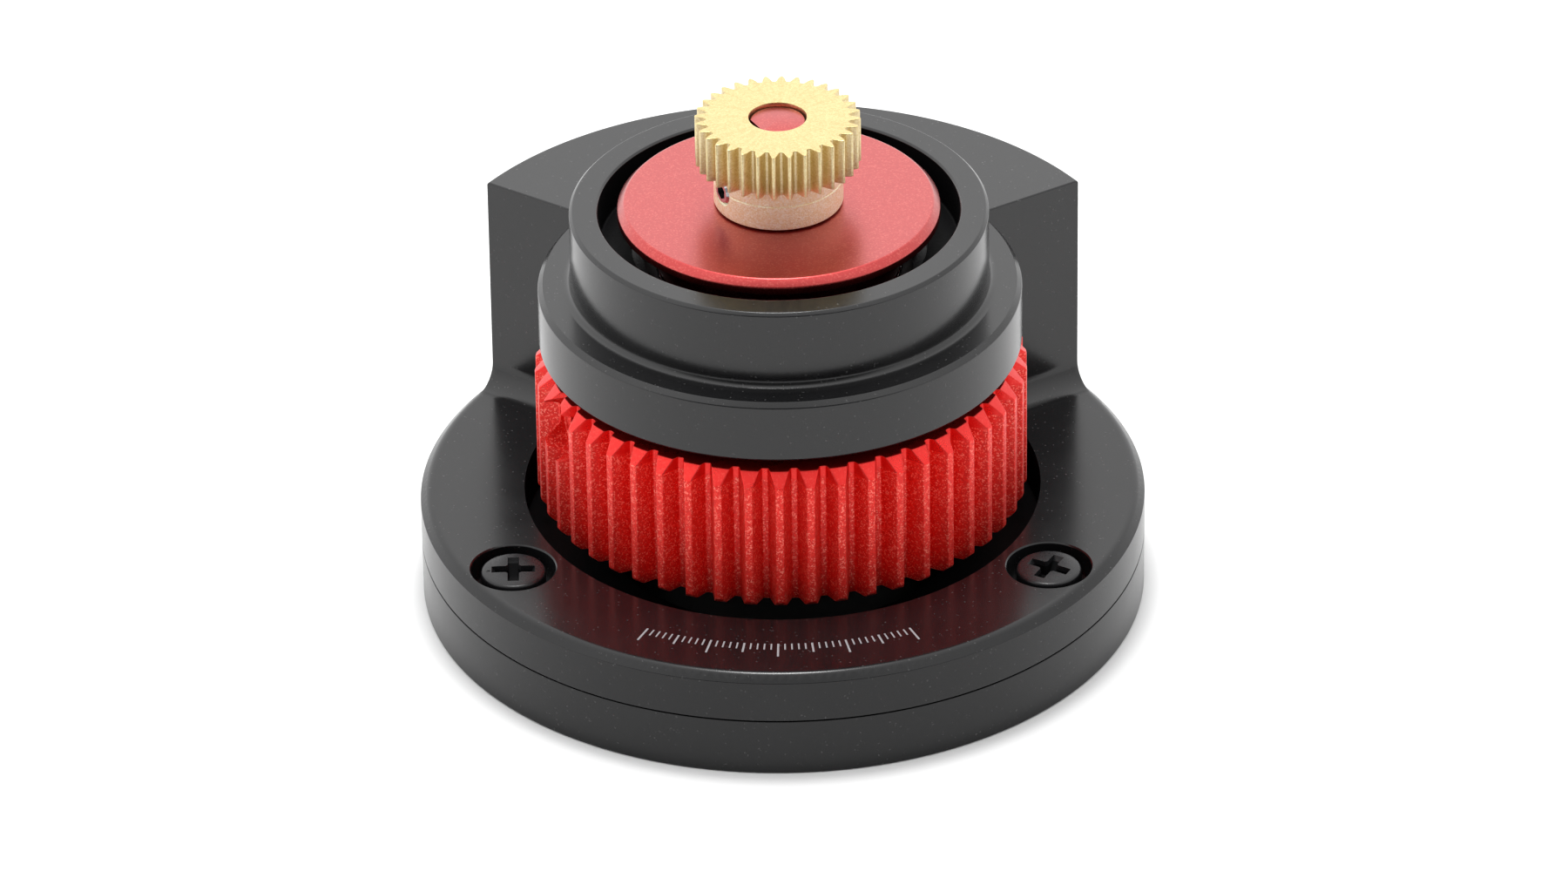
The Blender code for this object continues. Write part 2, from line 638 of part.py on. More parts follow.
def make_pinion():
    teeth_bottom = PINION_TOP_Z - PINION_FACE_W
    bore_r = SHAFT_R + SLIP
    hub_z = DISC_TOP_Z + SEAM
    pitch_r = (PINION_TIP_R + PINION_ROOT_R) / 2.0
    flank = [(PINION_ROOT_R, PINION_ROOT_HALF), (pitch_r, PINION_PITCH_HALF),
             (PINION_TIP_R, PINION_TIP_HALF)]
    levels = [(teeth_bottom, PINION_TIP_R), (PINION_TOP_Z, PINION_TIP_R)]
    inner = [
        (PINION_HUB_R, teeth_bottom),
        (PINION_HUB_R, hub_z),
        (bore_r, hub_z),
        (bore_r, PINION_TOP_Z - PINION_BORE_CHAMFER),
        (bore_r + PINION_BORE_CHAMFER, PINION_TOP_Z),
    ]
    pinion = toothed("pinion", BRASS, PINION_TEETH, PINION_PHASE, flank, levels, inner)
    drill(pinion, "pinion_tapping", PINION_GRUB_R + SLIP,
          polar(SHAFT_FLAT - CUT_MARGIN, GRUB_ANGLE, PINION_GRUB_Z),
          polar(PINION_TIP_R + CUT_MARGIN, GRUB_ANGLE, PINION_GRUB_Z))
    length = PINION_HUB_R - SHAFT_FLAT - GAP
    make_grub_screw("pinion_grub_screw", PINION_GRUB_R, length, SHAFT_FLAT + GAP,
                    GRUB_ANGLE, PINION_GRUB_Z)
    return pinion


def make_knob_grub_screws():
    for index, angle in enumerate(KNOB_GRUB_ANGLES):
        make_grub_screw(f"knob_grub_screw_{index + 1}", KNOB_GRUB_R, KNOB_GRUB_LENGTH,
                        STEM_R + GAP, angle, KNOB_GRUB_Z)


def make_coupler():
    """Brass sleeve that grips the telescope's focus shaft, with its cross pin."""
    top = STEM_BOTTOM_Z + COUPLER_LENGTH
    profile = [
        (COUPLER_BORE_R, top),
        (COUPLER_R, top),
        (COUPLER_R, STEM_BOTTOM_Z),
        (COUPLER_BORE_R + COUPLER_CHAMFER, STEM_BOTTOM_Z),
        (COUPLER_BORE_R, STEM_BOTTOM_Z + COUPLER_CHAMFER),
    ]
    sleeve = turned("shaft_coupler", profile, BRASS, SMALL_STEPS)
    pin_z = STEM_BOTTOM_Z + COUPLER_LENGTH / 2.0
    reach = COUPLER_R + CUT_MARGIN
    drill(sleeve, "sleeve_pin_way", PIN_R + SLIP, polar(COUPLER_BORE_R - CUT_MARGIN, 180.0, pin_z),
          polar(reach, 180.0, pin_z))
    pin_length = STEM_R - COUPLER_BORE_R - 2.0 * GAP
    pin = cylinder("coupler_pin", PIN_R, pin_length, STEEL)
    place(pin, polar(COUPLER_BORE_R + GAP, 180.0, pin_z), polar(1.0, 180.0))
    return sleeve


def make_bearing(prefix, z):
    """Thin ball bearing: two grooved races, a cage, its balls and two seals."""
    middle = z + BEARING_W / 2.0
    outer_in = RACE_OUTER_R - RACE_WALL
    inner_out = RACE_INNER_R + RACE_WALL
    half_groove = BALL_R
    outer = [
        (outer_in, z),
        (RACE_OUTER_R, z),
        (RACE_OUTER_R, z + BEARING_W),
        (outer_in, z + BEARING_W),
        (outer_in, middle + half_groove),
        (outer_in + GROOVE_DEPTH, middle),
        (outer_in, middle - half_groove),
    ]
    inner = [
        (inner_out, z + BEARING_W),
        (RACE_INNER_R, z + BEARING_W),
        (RACE_INNER_R, z),
        (inner_out, z),
        (inner_out, middle - half_groove),
        (inner_out - GROOVE_DEPTH, middle),
        (inner_out, middle + half_groove),
    ]
    turned(prefix + "_outer_race", outer, STEEL, SMALL_STEPS)
    turned(prefix + "_inner_race", inner, STEEL, SMALL_STEPS)

    pitch = 360.0 / BALL_COUNT
    for index in range(BALL_COUNT):
        bm = bmesh.new()
        bmesh.ops.create_uvsphere(bm, u_segments=BALL_STEPS, v_segments=4, radius=BALL_R)
        ball = finish_mesh(bm, f"{prefix}_ball_{index + 1}", STEEL, 80.0)
        place(ball, polar(BALL_CIRCLE_R, index * pitch, middle))

    cage_profile = [
        (BALL_CIRCLE_R - CAGE_HALF_WALL, middle - CAGE_HALF_H),
        (BALL_CIRCLE_R + CAGE_HALF_WALL, middle - CAGE_HALF_H),
        (BALL_CIRCLE_R + CAGE_HALF_WALL, middle + CAGE_HALF_H),
        (BALL_CIRCLE_R - CAGE_HALF_WALL, middle + CAGE_HALF_H),
    ]
    cage = turned(prefix + "_cage", cage_profile, CAGE_BRASS, SMALL_STEPS)
    pocket_r = BALL_R / math.cos(math.pi / BALL_STEPS) + POCKET_SLIP
    for index in range(BALL_COUNT):
        drill(cage, f"{prefix}_pocket_{index}", pocket_r,
              polar(inner_out - CUT_MARGIN, index * pitch, middle),
              polar(outer_in + CUT_MARGIN, index * pitch, middle), BALL_STEPS)

    seal_in = inner_out + SLIP
    seal_out = outer_in - SLIP / 3.0
    for label, low in (("lower_seal", z + SEAL_INSET),
                       ("upper_seal", z + BEARING_W - SEAL_T - SEAL_INSET)):
        seal = [(seal_in, low), (seal_out, low), (seal_out, low + SEAL_T), (seal_in, low + SEAL_T)]
        turned(f"{prefix}_{label}", seal, RUBBER, SMALL_STEPS)


def make_collar_rings():
    spacer = [
        (RACE_OUTER_R - RACE_WALL, SPACER_Z),
        (RACE_OUTER_R, SPACER_Z),
        (RACE_OUTER_R, SPACER_Z + SPACER_H),
        (RACE_OUTER_R - RACE_WALL, SPACER_Z + SPACER_H),
    ]
    turned("outer_spacer", spacer, BLACK_ANODISE, SMALL_STEPS)
    spacer = [
        (RACE_INNER_R, SPACER_Z),
        (RACE_INNER_R + RACE_WALL, SPACER_Z),
        (RACE_INNER_R + RACE_WALL, SPACER_Z + SPACER_H),
        (RACE_INNER_R, SPACER_Z + SPACER_H),
    ]
    turned("inner_spacer", spacer, BLACK_ANODISE, SMALL_STEPS)
    clip = [
        (BEARING_BORE_R - CIRCLIP_REACH, CIRCLIP_Z),
        (BEARING_BORE_R + CIRCLIP_DEPTH - SEAM, CIRCLIP_Z),
        (BEARING_BORE_R + CIRCLIP_DEPTH - SEAM, CIRCLIP_Z + CIRCLIP_T),
        (BEARING_BORE_R - CIRCLIP_REACH, CIRCLIP_Z + CIRCLIP_T),
    ]
    turned("retaining_ring", clip, BLACK_STEEL, SMALL_STEPS, 360.0 - CIRCLIP_OPENING,
           270.0 + CIRCLIP_OPENING / 2.0)


def main():
    clear_scene()
    make_housing()
    make_base_ring()
    make_flange_screws()
    make_knob()
    make_knob_grub_screws()
    make_rotor()
    make_pinion()
    make_coupler()
    make_bearing("lower", LOWER_BEARING_Z)
    make_bearing("upper", UPPER_BEARING_Z)
    make_collar_rings()


main()
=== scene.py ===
"""Looks of a telescope focus-drive adapter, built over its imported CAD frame.

Lengths are in millimetres until a mesh is made. The knob's axis is Z, the rear pillar is
at +Y and the open front at -Y. Azimuths are in degrees from +X, anticlockwise from above.
"""
import math

import bmesh
import bpy
from mathutils import Matrix, Vector


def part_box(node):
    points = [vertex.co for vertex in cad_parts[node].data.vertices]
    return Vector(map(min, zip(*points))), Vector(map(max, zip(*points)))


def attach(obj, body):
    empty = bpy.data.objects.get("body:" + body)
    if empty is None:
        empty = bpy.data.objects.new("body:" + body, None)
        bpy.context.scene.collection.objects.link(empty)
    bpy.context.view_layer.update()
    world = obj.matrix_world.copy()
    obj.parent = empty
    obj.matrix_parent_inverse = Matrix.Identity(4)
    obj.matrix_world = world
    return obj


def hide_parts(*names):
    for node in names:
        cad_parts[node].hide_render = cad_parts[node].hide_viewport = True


MM = 0.001

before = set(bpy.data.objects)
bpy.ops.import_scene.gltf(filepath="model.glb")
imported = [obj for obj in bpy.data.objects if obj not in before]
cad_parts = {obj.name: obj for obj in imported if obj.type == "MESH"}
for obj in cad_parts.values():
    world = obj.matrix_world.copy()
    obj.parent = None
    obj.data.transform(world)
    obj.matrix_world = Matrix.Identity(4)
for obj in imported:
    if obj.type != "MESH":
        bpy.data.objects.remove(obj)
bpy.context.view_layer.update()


def node_mm(name):
    """Lowest and highest corner of a CAD node in millimetres."""
    low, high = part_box(name)
    return low / MM, high / MM


housing_low, housing_high = node_mm("housing")
_, base_high = node_mm("base_ring")
_, rotor_high = node_mm("drive_rotor")
pinion_low, pinion_high = node_mm("pinion")

# Heights
SEAM_TOP = housing_low.z
BASE_TOP = base_high.z
FLANGE_TOP = 12.4
COVER_UNDER = 31.2
SHOULDER_TOP = 38.3
COLLAR_TOP = housing_high.z
BORE_FLOOR = 42.85
GROOVE_TOP = 42.25
GROOVE_BOTTOM = 40.95
LIP_TOP = 32.1
DISC_TOP = 48.3
DISC_UNDER = 46.7
HUB_BOTTOM = pinion_low.z
PINION_TOP = pinion_high.z
TEETH_HEIGHT = 5.35
TEETH_BOTTOM = PINION_TOP - TEETH_HEIGHT
SHAFT_TOP = rotor_high.z
KNOB_BOTTOM = 12.8
KNOB_TOP = 29.4

# Radii
FLANGE_R = 40.0
WALL_R = 39.1
WELL_R = 28.5
BASE_BORE_R = 19.8
SHOULDER_R = 26.45
COLLAR_R = 22.85
COLLAR_BORE_R = 19.7
BEARING_BORE_R = 16.15
LIP_R = 15.1
DISC_R = 17.6
SHAFT_R = 3.0
SHAFT_FLAT = 2.5        # from the axis to the flat
PINION_BORE_R = 3.15
PINION_HUB_R = 7.05
PINION_TIP_R = 9.0
KNOB_TIP_R = 27.0
KNOB_ROOT_R = 24.9

# Pillar, grub screws, flange screws and the nick in a tooth: azimuths and places
PILLAR_LEFT = 147.0
PILLAR_RIGHT = 33.0
FOOT_FILLET = 2.8
GRUB_AZ = 209.2
KNOB_GRUB_AZ = (203.0, 113.0)
KNOB_GRUB_Z = 25.4
PINION_GRUB_Z = 51.3
SCREW_CIRCLE_R = 34.15
SCREW_AZ = (211.5, 329.0)
SCREW_ROLL = (2.0, -28.0)
NICK_AZ = 292.2
NICK_Z = 23.65

# Cross-recess screws. Seats, ends, floors and tops are heights; the rear one goes in from below
UP = (0.0, 0.0, 1.0)
DOWN = (0.0, 0.0, -1.0)
SCREW_R = 2.0
SCREW_WAY_R = 2.15
SCREW_HEAD_R = 3.55
SCREW_HEAD_H = 2.6
SCREW_SEAT = 9.65
SCREW_END = 1.85
COUNTERBORE_R = 4.6
COUNTERBORE_FLOOR = 9.5
REAR_SCREW_AZ = 90.0
REAR_SEAT = 2.75
REAR_COUNTERBORE_TOP = 2.9
REAR_LENGTH = 12.85

# Teeth, and the azimuth of one of them
KNOB_TEETH = 50
KNOB_PHASE = -89.55
PINION_TEETH = 32
PINION_PHASE = 99.2

FINE = 240               # steps round a large turned piece
TOOL_ROLL = 3.7          # keeps a cutter's facets off those of what it cuts

# Camera, before the whole view turns by VIEW_TURN about the axis; tilt is pitch, yaw and roll
VIEW_TURN = 1.2
CAMERA_BACK = 941.4259
CAMERA_UP = 593.8107
CAMERA_TILT = (31.439, 0.014, -0.778)
LENS = 229.924


# ---------------------------------------------------------------- mesh helpers

def polar(radius, azimuth, z=0.0):
    angle = math.radians(azimuth)
    return Vector((radius * math.cos(angle), radius * math.sin(angle), z))


def soften(corners, closed=True, parts=3):
    """Round a polyline's corners; each is (u, v, how far back along its sides it starts)."""
    out = []
    count = len(corners)
    for k, (u, v, back) in enumerate(corners):
        here = Vector((u, v))
        if back <= 0.0 or (not closed and k in (0, count - 1)):
            out.append((u, v))
            continue
        before = Vector(corners[k - 1][:2]) - here
        after = Vector(corners[(k + 1) % count][:2]) - here
        start = here + before.normalized() * min(back, before.length * 0.45)
        end = here + after.normalized() * min(back, after.length * 0.45)
        for step in range(parts + 1):
            t = step / parts
            point = start * (1 - t) ** 2 + here * (2 * t * (1 - t)) + end * t ** 2
            out.append((point.x, point.y))
    return out


def lathe(bm, outline, steps=FINE, start=0.0):
    """Solid of revolution about Z from a closed (radius, z) outline."""
    rings = []
    for radius, z in outline:
        if radius < 1e-6:
            rings.append([bm.verts.new((0.0, 0.0, z))])
        else:
            rings.append([bm.verts.new(polar(radius, start + 360.0 * k / steps, z))
                          for k in range(steps)])
    for first, second in zip(rings, rings[1:] + rings[:1]):
        for k in range(steps):
            following = (k + 1) % steps
            if len(first) == 1 and len(second) == 1:
                continue
            if len(first) == 1:
                bm.faces.new((first[0], second[following], second[k]))
            elif len(second) == 1:
                bm.faces.new((first[k], first[following], second[0]))
            else:
                bm.faces.new((first[k], first[following], second[following], second[k]))


def as_object(bm, name):
    """Linked object from a bmesh in millimetres; the bmesh is freed."""
    bmesh.ops.recalc_face_normals(bm, faces=bm.faces)
    bmesh.ops.scale(bm, vec=(MM, MM, MM), verts=bm.verts)
    mesh = bpy.data.meshes.new(name)
    bm.to_mesh(mesh)
    bm.free()
    obj = bpy.data.objects.new(name, mesh)
    bpy.context.scene.collection.objects.link(obj)
    return obj


def turned(name, outline, steps=FINE, start=0.0):
    bm = bmesh.new()
    lathe(bm, outline, steps, start)
    return as_object(bm, name)


def loft(name, rows):
    """Closed solid through rows of points, each row a closed outline, with flat end caps."""
    bm = bmesh.new()
    rows = [[bm.verts.new(point) for point in row] for row in rows]
    for before, after in zip(rows, rows[1:]):
        for k in range(len(before)):
            bm.faces.new((before[k - 1], before[k], after[k], after[k - 1]))
    bm.faces.new(rows[0])
    bm.faces.new(rows[-1])
    return as_object(bm, name)


def aim(obj, location, direction=(0.0, 0.0, 1.0), roll=0.0):
    turn = Vector(direction).to_track_quat("Z", "Y").to_matrix().to_4x4()
    spin = Matrix.Rotation(math.radians(roll), 4, "Z")
    obj.matrix_world = Matrix.Translation(Vector(location) * MM) @ turn @ spin
    return obj


def carve(obj, tools, operation="DIFFERENCE"):
    """Apply boolean cuts, then take the tools away."""
    for tool in tools:
        modifier = obj.modifiers.new(tool.name, "BOOLEAN")
        modifier.operation = operation
        modifier.solver = "MANIFOLD"
        modifier.object = tool
    bake(obj)
    for tool in tools:
        bpy.data.objects.remove(tool, do_unlink=True)
    return obj


def bake(obj):
    """Replace an object's mesh by what its modifiers make of it."""
    bpy.context.view_layer.update()
    graph = bpy.context.evaluated_depsgraph_get()
    mesh = bpy.data.meshes.new_from_object(obj.evaluated_get(graph), depsgraph=graph)
    obj.modifiers.clear()
    obj.data = mesh
    return obj


def smooth(obj, angle=32.0):
    """Smooth shading with sharp edges by angle, and large faces kept flat."""
    obj.data.transform(obj.matrix_world)
    obj.matrix_world = Matrix.Identity(4)
    obj.data.shade_smooth()
    obj.data.set_sharp_from_angle(angle=math.radians(angle))
    modifier = obj.modifiers.new("weights", "WEIGHTED_NORMAL")
    modifier.keep_sharp = True
    modifier.weight = 60
    return bake(obj)


def retouch(obj, material, low_r, high_r, low_z, high_z):
    """Give another material to the faces inside a ring-shaped box."""
    obj.data.materials.append(material)
    index = len(obj.data.materials) - 1
    for face in obj.data.polygons:
        radius = math.hypot(face.center.x, face.center.y) / MM
        if low_r <= radius <= high_r and low_z <= face.center.z / MM <= high_z:
            face.material_index = index


def piece(obj, material, body, slot, *nodes):
    """Give a finished mesh its material and the body it rides on."""
    obj.data.materials.clear()
    obj.data.materials.append(material)
    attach(obj, body)
    if nodes:
        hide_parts(*nodes)


def round_tool(name, outline, location, direction, steps=48):
    """Turned cutting tool; outline is (radius, distance along direction)."""
    return aim(turned(name, outline, steps), location, direction, TOOL_ROLL)


# ---------------------------------------------------------------- materials

class Nodes:
    """Short way to wire a material's node tree."""

    def __init__(self, name):
        self.material = bpy.data.materials.new(name)
        self.material.use_nodes = True
        self.tree = self.material.node_tree
        self.shader = self.tree.nodes["Principled BSDF"]
        self.place = self.add("ShaderNodeTexCoord").outputs["Object"]

    def add(self, kind, **settings):
        node = self.tree.nodes.new(kind)
        for key, value in settings.items():
            setattr(node, key, value)
        return node

    def link(self, source, socket):
        if isinstance(source, (int, float, tuple)):
            socket.default_value = source
        else:
            self.tree.links.new(source, socket)

    def noise(self, size_mm, detail=2.0, roughness=0.5, where=None):
        node = self.add("ShaderNodeTexNoise")
        self.link(where or self.place, node.inputs["Vector"])
        node.inputs["Scale"].default_value = 1.0 / (size_mm * MM)
        node.inputs["Detail"].default_value = detail
        node.inputs["Roughness"].default_value = roughness
        return node.outputs["Fac"]

    def grains(self, size_mm):
        """A different grey for every grain of the given size."""
        node = self.add("ShaderNodeTexVoronoi", feature="F1")
        self.link(self.place, node.inputs["Vector"])
        node.inputs["Scale"].default_value = 1.0 / (size_mm * MM)
        split = self.add("ShaderNodeSeparateColor")
        self.link(node.outputs["Color"], split.inputs[0])
        return split.outputs[0], node.outputs["Distance"]

    def math(self, operation, a, b=0.0, clamp=False):
        node = self.add("ShaderNodeMath", operation=operation, use_clamp=clamp)
        self.link(a, node.inputs[0])
        self.link(b, node.inputs[1])
        return node.outputs[0]

    def span(self, value, low, high, to_low=0.0, to_high=1.0):
        node = self.add("ShaderNodeMapRange", clamp=True)
        self.link(value, node.inputs[0])
        for socket, number in zip(node.inputs[1:5], (low, high, to_low, to_high)):
            socket.default_value = number
        return node.outputs[0]

    def mix(self, share, a, b):
        node = self.add("ShaderNodeMix", data_type="RGBA")
        self.link(share, node.inputs["Factor"])
        self.link(a, node.inputs[6])
        self.link(b, node.inputs[7])
        return node.outputs[2]

    def bump(self, height, strength, distance_mm, normal=None):
        node = self.add("ShaderNodeBump")
        node.inputs["Strength"].default_value = strength
        node.inputs["Distance"].default_value = distance_mm * MM
        self.link(height, node.inputs["Height"])
        if normal is not None:
            self.link(normal, node.inputs["Normal"])
        return node.outputs[0]

    def finish(self, **inputs):
        for key, value in inputs.items():
            self.link(value, self.shader.inputs[key.replace("_", " ")])
        return self.material


def grey(value, tint=1.0):
    return (value, value, value * tint, 1.0)


def black_anodise(name, ior):
    n = Nodes(name)
    cloud = n.noise(6.0, 3.0)
    fine = n.noise(0.22, 2.0, 0.6)
    grain, _ = n.grains(0.15)
    # Painted glints: the rarest grains are mixed towards a light grey, standing for the sparkle of the
    # blasted finish.
    painted_glint_speck = n.span(grain, 0.988, 0.999, 0.0, 0.30)
    base = n.mix(cloud, grey(0.0045, 1.05), grey(0.0075, 1.08))
    rough = n.math("ADD", n.span(cloud, 0.3, 0.7, 0.16, 0.20), n.math("MULTIPLY", fine, 0.06))
    return n.finish(Base_Color=n.mix(painted_glint_speck, base, grey(0.14)), Roughness=rough, IOR=ior,
                    Normal=n.bump(fine, 0.08, 0.02), Metallic=0.0)


def red_anodise(name, low, high, glint, rough, metallic, coat, grain_mm, strength,
                smooth_z=None):
    """Dyed metal under a clear oxide layer, its lightest grains painted glints; above smooth_z it is turned
    and has neither grain nor painted glints.
    """
    n = Nodes(name)
    cloud = n.noise(5.0, 3.0)
    fine = n.noise(grain_mm, 3.0, 0.7)
    grain, _ = n.grains(grain_mm)
    rest = n.span(grain, 0.0, 1.0)
    # Painted glints: the lightest grains are mixed towards a pale orange-red, standing for the sparkle of
    # the blasted finish; glint says how far.
    painted_glint = n.span(grain, 0.72, 0.97, 0.0, glint)
    height = fine
    if smooth_z is not None:
        split = n.add("ShaderNodeSeparateXYZ")
        n.link(n.place, split.inputs[0])
        below = n.span(split.outputs[2], (smooth_z - 0.03) * MM, (smooth_z + 0.03) * MM, 1.0, 0.12)
        height = n.math("MULTIPLY", fine, below)
        painted_glint = n.math("MULTIPLY", painted_glint, below)
        rest = n.math("MULTIPLY", rest, below)
    colour = n.mix(painted_glint, n.mix(rest, low, high), (1.0, 0.42, 0.32, 1.0))
    roughness = n.math("ADD", n.span(cloud, 0.3, 0.7, rough - 0.04, rough + 0.03),
                       n.math("MULTIPLY", fine, 0.06))
    if smooth_z is not None:
        roughness = n.math("MULTIPLY", roughness, n.span(below, 0.12, 1.0, 0.6, 1.0))
    return n.finish(Base_Color=colour, Roughness=roughness, Metallic=metallic, Coat_Weight=coat,
                    Coat_Roughness=rough * 0.85, Coat_IOR=1.5, Normal=n.bump(height, strength, 0.03))


def brass():
    """Turned brass: fine rays on the faced top; round the hub a paler grain whose lightest grains, near
    white, are painted glints.
    """
    n = Nodes("turned_brass")
    split = n.add("ShaderNodeSeparateXYZ")
    n.link(n.place, split.inputs[0])
    angle = n.math("ARCTAN2", split.outputs[1], split.outputs[0])
    ray = n.add("ShaderNodeCombineXYZ")
    n.link(n.math("MULTIPLY", angle, 0.003), ray.inputs[0])
    n.link(n.math("MULTIPLY", split.outputs[2], 0.05), ray.inputs[2])
    streak = n.noise(0.16, 3.0, 0.6, ray.outputs[0])
    grain, _ = n.grains(0.17)
    fine = n.noise(0.17, 3.0, 0.7)
    low = n.math("ADD", n.span(split.outputs[2], (TEETH_BOTTOM - 0.1) * MM, TEETH_BOTTOM * MM, 0.75, 0.0),
                 n.span(split.outputs[2], (PINION_TOP - 0.12) * MM, (PINION_TOP - 0.04) * MM, 0.25, 0.0))
    shade = n.math("ADD", n.math("MULTIPLY", streak, 0.6), n.math("MULTIPLY", grain, 0.4))
    top = n.mix(n.span(shade, 0.3, 0.7), (0.58, 0.445, 0.205, 1.0), (0.70, 0.56, 0.28, 1.0))
    # Round the hub the grains vary in tone from pale brass to near white; the near-white ones are painted
    # glints standing for the hub's sparkle.
    colour = n.mix(low, top, n.mix(n.span(grain, 0.2, 0.9), (0.90, 0.76, 0.46, 1.0), (1.0, 0.95, 0.76, 1.0)))
    rough = n.math("ADD", n.span(fine, 0.3, 0.7, 0.24, 0.36), n.math("MULTIPLY", low, 0.1))
    dents = n.bump(n.math("MULTIPLY", fine, low), 1.0, 0.12)
    return n.finish(Base_Color=colour, Roughness=rough, Metallic=n.span(low, 0.3, 0.75, 1.0, 0.6),
                    Normal=n.bump(streak, 0.25, 0.03, dents))


def plain_metal(name, colour, rough, size_mm, strength=0.15, metallic=1.0):
    n = Nodes(name)
    fine = n.noise(size_mm, 3.0, 0.6)
    dark = tuple(c * 0.75 for c in colour[:3]) + (1.0,)
    return n.finish(Base_Color=n.mix(fine, dark, colour), Metallic=metallic,
                    Roughness=n.span(fine, 0.3, 0.7, rough - 0.06, rough + 0.08),
                    Normal=n.bump(fine, strength, 0.02))


BLACK = black_anodise("black_anodise", 1.5)
# Painted shade: a copy of the black anodise that reflects less, worn by the flange and the base ring so that
# their reflections come out dimmer than the rest of the housing's.
FLANGE_BLACK_PAINTED_SHADE = black_anodise("black_anodise_flange_painted_shade", 1.4)
# Painted shade: a darker, barely reflecting copy of the black anodise, laid on the bores, the well, the
# base's top inside the well and the screws' cross recesses.
PAINTED_SHADE_BLACK = plain_metal("black_anodise_painted_shade", (0.003, 0.003, 0.0035, 1.0), 0.5, 0.3, 0.2, 0.0)
PAINTED_SHADE_BLACK.node_tree.nodes["Principled BSDF"].inputs["IOR"].default_value = 1.18
RED_KNOB = red_anodise("red_anodise_knob", (0.66, 0.008, 0.005, 1.0), (0.92, 0.024, 0.012, 1.0),
                       0.50, 0.44, 0.78, 0.4, 0.14, 1.0, KNOB_TOP - 1.45)
RED_DISC = red_anodise("red_anodise_disc", (0.38, 0.016, 0.015, 1.0), (0.44, 0.022, 0.020, 1.0),
                       0.08, 0.30, 1.0, 1.0, 0.16, 0.12)
BRASS = brass()
BLACK_STEEL = plain_metal("black_oxide_steel", (0.010, 0.010, 0.011, 1.0), 0.30, 0.25, 0.15, 0.0)
BLACK_STEEL.node_tree.nodes["Principled BSDF"].inputs["IOR"].default_value = 1.38
STEEL = plain_metal("bearing_steel", (0.62, 0.63, 0.65, 1.0), 0.18, 0.5)
CAGE = plain_metal("cage_brass", (0.72, 0.50, 0.22, 1.0), 0.35, 0.4)
RUBBER = plain_metal("seal_rubber", (0.02, 0.02, 0.02, 1.0), 0.65, 0.3, 0.3, 0.0)
MARK = plain_metal("marking_paint", (0.30, 0.30, 0.31, 1.0), 0.45, 0.2, 0.1, 0.0)


# ---------------------------------------------------------------- housing and base

def front_tool():
    """Clears the front between the pillar's radial faces and shapes the shoulder's wall.

    Its slices stand across the cut; those near a radial face are parallel to it and rise
    with the foot's fillet, and the last ones break the pillar's top edge.
    """
    top = SHOULDER_TOP + 1.0
    rim = [(38.55, 0.0), (38.87, -0.02), (39.12, -0.10), (39.34, -0.24), (FLANGE_R + 1.0, -0.24)]
    wall = soften([(SHOULDER_R - 0.95, SHOULDER_TOP + 0.4, 0.0), (SHOULDER_R, SHOULDER_TOP - 0.55, 0.12),
                   (SHOULDER_R, COVER_UNDER + 0.2, 0.1), (SHOULDER_R - 0.2, COVER_UNDER - 0.02, 0.0)],
                  closed=False)

    def slice_points(radial, offset, rise):
        points = [(SHOULDER_R - 0.2, FLANGE_TOP + rise)]
        points += [(r, FLANGE_TOP + rise + z) for r, z in rim]
        points += [(FLANGE_R + 1.0, top + 0.5), (SHOULDER_R - 1.5, top + 0.5)]
        points += [(r, max(z, FLANGE_TOP + rise + 0.01 * k)) for k, (r, z) in
                   zip(range(len(wall), 0, -1), wall)]
        out = []
        for radius, z in points:
            along = math.sqrt(radius * radius - offset.length_squared)
            out.append(radial * along + offset + Vector((0.0, 0.0, z)))
        return out

    steps = 8
    foot = []
    for step in range(steps + 1):
        angle = math.radians(90.0 * step / steps)
        foot.append((FOOT_FILLET * (1.0 - math.cos(angle)), FOOT_FILLET * (1.0 - math.sin(angle))))
    crown = SHOULDER_TOP - FLANGE_TOP
    edge = [(-0.22, crown + 0.02), (-0.15, crown - 0.01), (-0.06, crown - 0.06), (0.0, crown - 0.16)]
    side = edge + foot
    pitch = 360.0 / FINE
    skip = math.degrees(math.asin(FOOT_FILLET / SHOULDER_R)) + 0.3
    sweep = 360.0 - (PILLAR_LEFT - PILLAR_RIGHT)
    count = 2 * int((sweep - 2.0 * skip) / pitch / 2.0)
    rows = [slice_points(polar(1.0, PILLAR_LEFT), polar(1.0, PILLAR_LEFT + 90.0) * d, rise)
            for d, rise in side]
    for step in range(count):
        angle = 270.0 + (step - (count - 1) / 2.0) * pitch
        rows.append(slice_points(polar(1.0, angle), Vector(), 0.0))
    rows += [slice_points(polar(1.0, PILLAR_RIGHT), polar(1.0, PILLAR_RIGHT - 90.0) * d, rise)
             for d, rise in reversed(side)]
    return loft("front_tool", rows)


